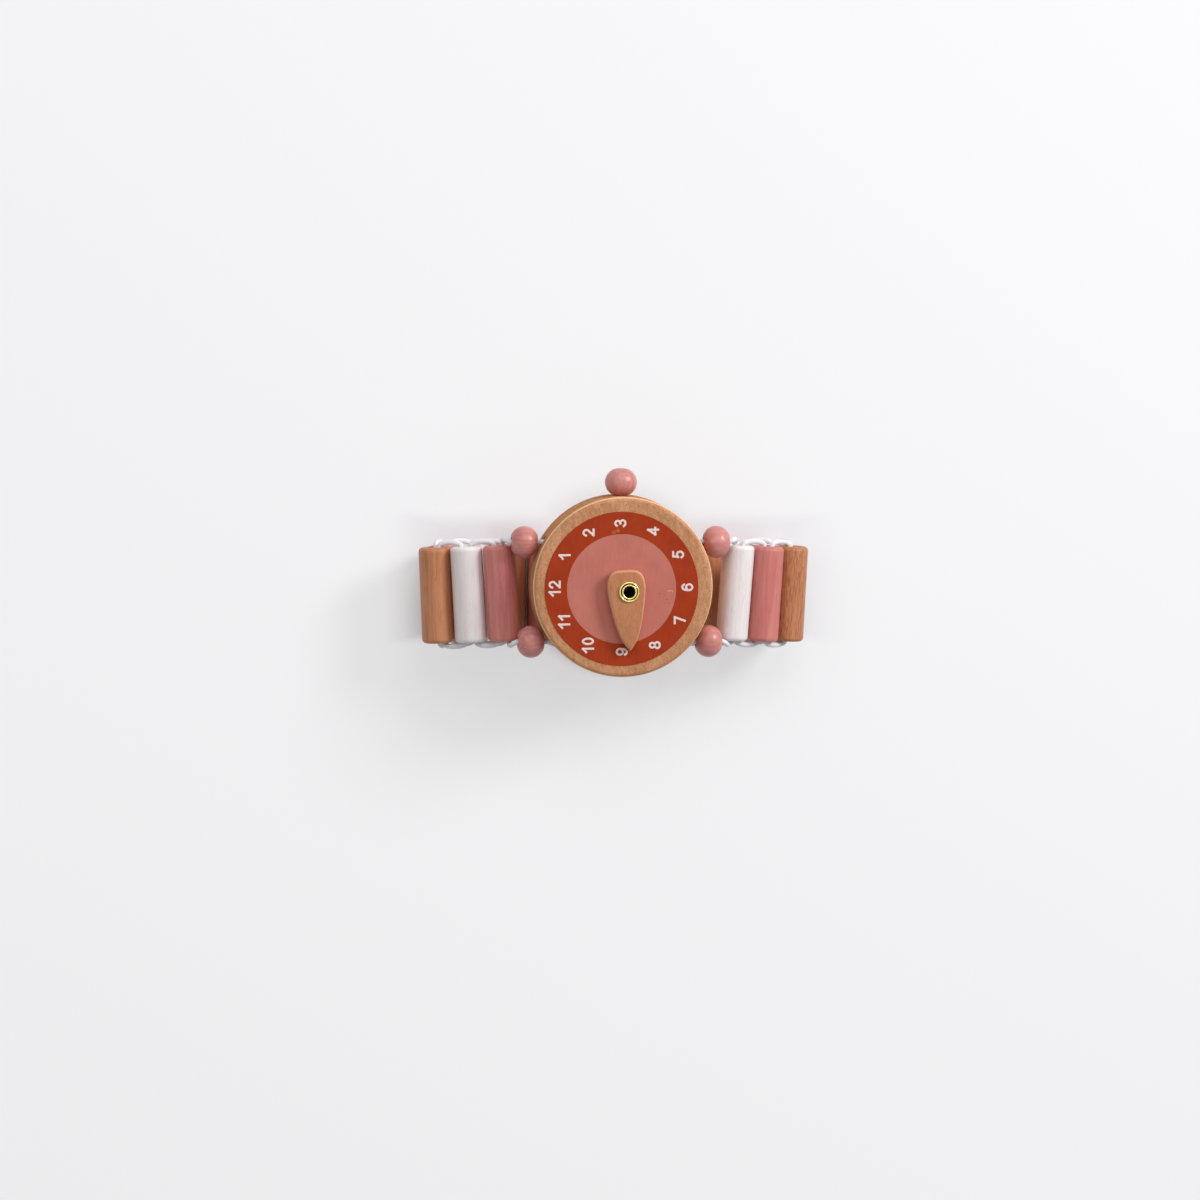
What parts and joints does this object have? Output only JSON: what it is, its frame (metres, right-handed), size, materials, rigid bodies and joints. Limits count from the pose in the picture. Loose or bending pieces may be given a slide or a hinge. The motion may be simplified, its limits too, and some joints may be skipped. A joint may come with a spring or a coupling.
{
  "type": "toy watch",
  "caption": "Wooden toy watch with a printed dial, a hand that turns on a brass eyelet, and a stretch band of wooden tube beads.",
  "frame": {"origin": "on the surface that the closed watch lies on, under the middle of its outline", "axes": "+Z out of the dial, +X along the band from the numeral 12 to the numeral 6, +Y towards the crown"},
  "size_m": [0.0837, 0.0438, 0.0311],
  "materials": {
    "case_wood": "clear-varnished beech",
    "ring_paint": "screen-printed paint",
    "centre_paint": "screen-printed paint",
    "hand_wood": "oiled beech",
    "brass": "polished",
    "pink_bead": "satin painted beech",
    "white_bead": "satin painted beech",
    "tan_bead": "satin lacquered beech",
    "peg_wood": "bare beech",
    "elastic": "white braided elastic"
  },
  "bodies": {
    "tube_09": {"tube_09": "tan_bead", "elastic_cord": "elastic"},
    "case": {"case": "case_wood", "dial_ring": "ring_paint", "dial_centre": "centre_paint", "eyelet": "brass", "crown_bead": "pink_bead", "crown_peg": "peg_wood"},
    "hand": {"hand": "hand_wood"},
    "tube_08": {"tube_08": "pink_bead"},
    "tube_07": {"tube_07": "white_bead"},
    "tube_06": {"tube_06": "tan_bead"},
    "tube_05": {"tube_05": "pink_bead"},
    "tube_04": {"tube_04": "white_bead"},
    "tube_03": {"tube_03": "tan_bead"},
    "tube_02": {"tube_02": "pink_bead"},
    "tube_01": {"tube_01": "white_bead"},
    "tube_10": {"tube_10": "white_bead"},
    "tube_11": {"tube_11": "pink_bead"},
    "tube_12": {"tube_12": "tan_bead"},
    "tube_13": {"tube_13": "white_bead"},
    "tube_14": {"tube_14": "pink_bead"},
    "tube_15": {"tube_15": "tan_bead"},
    "tube_16": {"tube_16": "white_bead"},
    "tube_17": {"tube_17": "pink_bead"},
    "corner_bead_upper_right": {"corner_bead_upper_right": "pink_bead"},
    "corner_bead_upper_left": {"corner_bead_upper_left": "pink_bead"},
    "corner_bead_lower_right": {"corner_bead_lower_right": "pink_bead"},
    "corner_bead_lower_left": {"corner_bead_lower_left": "pink_bead"}
  },
  "joints": [
    {"name": "band_stretch", "type": "slide", "parent": "tube_09", "child": "case", "axis": [0, 0, 1], "range_m": [0, 0.03643], "stiffness_N_per_m": 150, "deforming": ["elastic_cord"]},
    {"name": "hand_turn", "type": "hinge", "parent": "case", "child": "hand", "pos_m": [0.0011, -0.00357, 0.02786], "axis": [0, 0, 1], "continuous": true},
    {"name": "link_08_stretch", "type": "slide", "parent": "tube_09", "child": "tube_08", "axis": [0.8763, 0, 0.4818], "range_m": [0, 0.00285]},
    {"name": "link_07_stretch", "type": "slide", "parent": "tube_08", "child": "tube_07", "axis": [0.5096, 0, 0.8604], "range_m": [0, 0.00391]},
    {"name": "link_06_stretch", "type": "slide", "parent": "tube_07", "child": "tube_06", "axis": [0.2049, 0, 0.9788], "range_m": [0, 0.0053]},
    {"name": "link_05_stretch", "type": "slide", "parent": "tube_06", "child": "tube_05", "axis": [0.0268, 0, 0.9996], "range_m": [0, 0.00642]},
    {"name": "link_04_stretch", "type": "slide", "parent": "tube_05", "child": "tube_04", "axis": [-0.0571, 0, 0.9984], "range_m": [0, 0.00604]},
    {"name": "link_03_stretch", "type": "slide", "parent": "tube_04", "child": "tube_03", "axis": [-0.7791, 0, 0.6269], "range_m": [0, 0.00468]},
    {"name": "link_02_stretch", "type": "slide", "parent": "tube_03", "child": "tube_02", "axis": [0.455, 0, 0.8905], "range_m": [0, 0.00583]},
    {"name": "link_01_stretch", "type": "slide", "parent": "tube_02", "child": "tube_01", "axis": [0.2102, 0, 0.9777], "range_m": [0, 0.00589]},
    {"name": "link_09_stretch", "type": "slide", "parent": "tube_09", "child": "tube_10", "axis": [-0.8763, 0, 0.4818], "range_m": [0, 0.00285]},
    {"name": "link_10_stretch", "type": "slide", "parent": "tube_10", "child": "tube_11", "axis": [-0.5096, 0, 0.8604], "range_m": [0, 0.00391]},
    {"name": "link_11_stretch", "type": "slide", "parent": "tube_11", "child": "tube_12", "axis": [-0.2049, 0, 0.9788], "range_m": [0, 0.0053]},
    {"name": "link_12_stretch", "type": "slide", "parent": "tube_12", "child": "tube_13", "axis": [-0.0268, 0, 0.9996], "range_m": [0, 0.00642]},
    {"name": "link_13_stretch", "type": "slide", "parent": "tube_13", "child": "tube_14", "axis": [0.2994, 0, 0.9541], "range_m": [0, 0.00629]},
    {"name": "link_14_stretch", "type": "slide", "parent": "tube_14", "child": "tube_15", "axis": [0.682, 0, 0.7314], "range_m": [0, 0.00426]},
    {"name": "link_15_stretch", "type": "slide", "parent": "tube_15", "child": "tube_16", "axis": [-0.4127, 0, 0.9108], "range_m": [0, 0.00704]},
    {"name": "link_16_stretch", "type": "slide", "parent": "tube_16", "child": "tube_17", "axis": [-0.1488, 0, 0.9889], "range_m": [0, 0.00549]},
    {"name": "upper_right_end_stretch", "type": "slide", "parent": "tube_01", "child": "corner_bead_upper_right", "axis": [-0.9897, 0, 0.1431], "range_m": [0, 0.00366]},
    {"name": "upper_left_end_stretch", "type": "slide", "parent": "tube_17", "child": "corner_bead_upper_left", "axis": [0.9811, 0, -0.1935], "range_m": [0, 0.00272]},
    {"name": "lower_right_end_stretch", "type": "slide", "parent": "tube_01", "child": "corner_bead_lower_right", "axis": [-0.9897, 0, 0.1431], "range_m": [0, 0.00366]},
    {"name": "lower_left_end_stretch", "type": "slide", "parent": "tube_17", "child": "corner_bead_lower_left", "axis": [0.9811, 0, -0.1935], "range_m": [0, 0.00272]}
  ],
  "couplings": [
    {"joint": "link_08_stretch", "follows": "band_stretch", "ratio": 0.076921},
    {"joint": "link_07_stretch", "follows": "band_stretch", "ratio": 0.10584},
    {"joint": "link_06_stretch", "follows": "band_stretch", "ratio": 0.14416},
    {"joint": "link_05_stretch", "follows": "band_stretch", "ratio": 0.17475},
    {"joint": "link_04_stretch", "follows": "band_stretch", "ratio": 0.16449},
    {"joint": "link_03_stretch", "follows": "band_stretch", "ratio": 0.12703},
    {"joint": "link_02_stretch", "follows": "band_stretch", "ratio": 0.15865},
    {"joint": "link_01_stretch", "follows": "band_stretch", "ratio": 0.16035},
    {"joint": "link_09_stretch", "follows": "band_stretch", "ratio": 0.076921},
    {"joint": "link_10_stretch", "follows": "band_stretch", "ratio": 0.10584},
    {"joint": "link_11_stretch", "follows": "band_stretch", "ratio": 0.14416},
    {"joint": "link_12_stretch", "follows": "band_stretch", "ratio": 0.17475},
    {"joint": "link_13_stretch", "follows": "band_stretch", "ratio": 0.17133},
    {"joint": "link_14_stretch", "follows": "band_stretch", "ratio": 0.11555},
    {"joint": "link_15_stretch", "follows": "band_stretch", "ratio": 0.19187},
    {"joint": "link_16_stretch", "follows": "band_stretch", "ratio": 0.1492},
    {"joint": "upper_right_end_stretch", "follows": "band_stretch", "ratio": 0.099222},
    {"joint": "upper_left_end_stretch", "follows": "band_stretch", "ratio": 0.073344},
    {"joint": "lower_right_end_stretch", "follows": "band_stretch", "ratio": 0.099222},
    {"joint": "lower_left_end_stretch", "follows": "band_stretch", "ratio": 0.073344}
  ]
}
